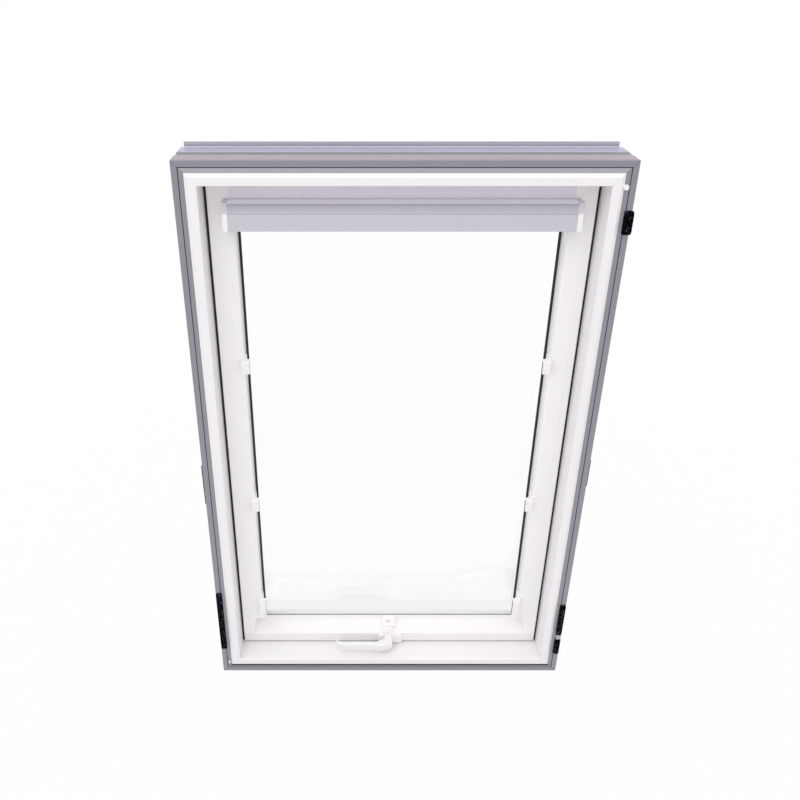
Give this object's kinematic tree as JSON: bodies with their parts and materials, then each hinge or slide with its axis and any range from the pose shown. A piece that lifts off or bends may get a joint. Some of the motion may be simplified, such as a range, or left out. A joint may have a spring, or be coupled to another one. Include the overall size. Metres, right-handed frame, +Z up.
{
  "type": "roof skylight",
  "caption": "Centre-pivot roof window with an aluminium frame, white lining, double-glazed white sash, lever handle and a roller blind under the head rail.",
  "frame": {"origin": "middle of the underside of the frame's sill, centred on the overall width and depth", "axes": "+X to the right as seen from the room, +Y from the room side to the weather side, +Z up the window's height from sill to head"},
  "size_m": [0.806, 0.1256, 1.189],
  "materials": {
    "frame_metal": "satin",
    "white_lining": "satin",
    "white_sash": "satin",
    "black_rubber": "matte",
    "weather_cover": "satin",
    "zinc_steel": "satin",
    "bearing_plastic": "matte",
    "black_plastic": "matte",
    "white_plastic": "gloss",
    "glass": "clear",
    "spacer_metal": "satin",
    "handle_metal": "satin",
    "blind_metal": "satin",
    "blind_fabric": "woven"
  },
  "bodies": {
    "frame": {"frame_head": "frame_metal", "frame_sill": "frame_metal", "frame_jamb_left": "frame_metal", "frame_jamb_right": "frame_metal", "liner_head": "white_lining", "liner_sill": "white_lining", "liner_jamb_left": "white_lining", "liner_jamb_right": "white_lining", "frame_gasket": "black_rubber", "liner_trim_seal": "black_rubber", "cover_head": "weather_cover", "cover_sill": "weather_cover", "cover_jamb_left": "weather_cover", "cover_jamb_right": "weather_cover", "hinge_frame_left": "zinc_steel", "hinge_frame_right": "zinc_steel", "hinge_washers": "bearing_plastic", "keeper_plate": "zinc_steel", "frame_screws": "zinc_steel", "side_block_left": "black_plastic", "side_block_right_upper": "black_plastic", "side_block_right_lower": "black_plastic", "side_block_ring": "zinc_steel", "frame_clip": "black_plastic", "white_caps": "white_plastic", "side_brackets": "zinc_steel"},
    "sash": {"sash_head": "white_sash", "sash_bottom_rail": "white_sash", "sash_stile_left": "white_sash", "sash_stile_right": "white_sash", "pane_inner": "glass", "pane_outer": "glass", "spacer_bar": "spacer_metal", "edge_seal": "black_rubber", "glazing_gasket": "black_rubber", "outer_glazing_seal": "black_rubber", "setting_blocks": "black_plastic", "sash_cover_head": "weather_cover", "sash_cover_bottom": "weather_cover", "sash_cover_left": "weather_cover", "sash_cover_right": "weather_cover", "hinge_sash_left": "zinc_steel", "hinge_sash_right": "zinc_steel", "sash_hinge_screws": "zinc_steel", "handle_base": "handle_metal", "latch_case": "zinc_steel", "latch_housing": "white_plastic", "blind_cassette": "blind_metal", "blind_cap_left": "white_plastic", "blind_cap_right": "white_plastic", "blind_hooks": "white_plastic"},
    "handle": {"handle_lever": "handle_metal", "spindle_crank": "zinc_steel"},
    "latch": {"latch_bolt": "zinc_steel"},
    "button": {"latch_button": "white_plastic"},
    "blind_bar": {"blind_pull_bar": "blind_metal", "blind_cloth": "blind_fabric"},
    "blind_roller": {"blind_tube": "spacer_metal", "blind_tube_plugs": "bearing_plastic", "blind_cloth_roll": "blind_fabric"}
  },
  "joints": [
    {"name": "sash_pivot", "type": "hinge", "parent": "frame", "child": "sash", "pos_m": [0, 0.0262, 0.59], "axis": [1, 0, 0], "range_deg": [0, 160]},
    {"name": "handle_turn", "type": "hinge", "parent": "sash", "child": "handle", "pos_m": [-0.003, -0.0278, 0.061], "axis": [0, 1, 0], "range_deg": [0, 90]},
    {"name": "latch_slide", "type": "slide", "parent": "sash", "child": "latch", "axis": [0, 0, -1], "range_m": [0, 0.0072]},
    {"name": "button_press", "type": "slide", "parent": "sash", "child": "button", "axis": [0, 0.3321, -0.9432], "range_m": [0, 0.002], "stiffness_N_per_m": 400, "springref_m": -0.001},
    {"name": "blind_bar_slide", "type": "slide", "parent": "sash", "child": "blind_bar", "axis": [0, 0, -1], "range_m": [0, 0.92], "stiffness_N_per_m": 8, "springref_m": -0.5},
    {"name": "blind_roller_turn", "type": "hinge", "parent": "sash", "child": "blind_roller", "pos_m": [0, -0.0208, 1.082], "axis": [1, 0, 0], "range_deg": [0, 4800]}
  ],
  "couplings": [
    {"joint": "latch_slide", "follows": "handle_turn", "m_per_rad": 0.0045016},
    {"joint": "blind_roller_turn", "follows": "blind_bar_slide", "rad_per_m": 90.909}
  ]
}
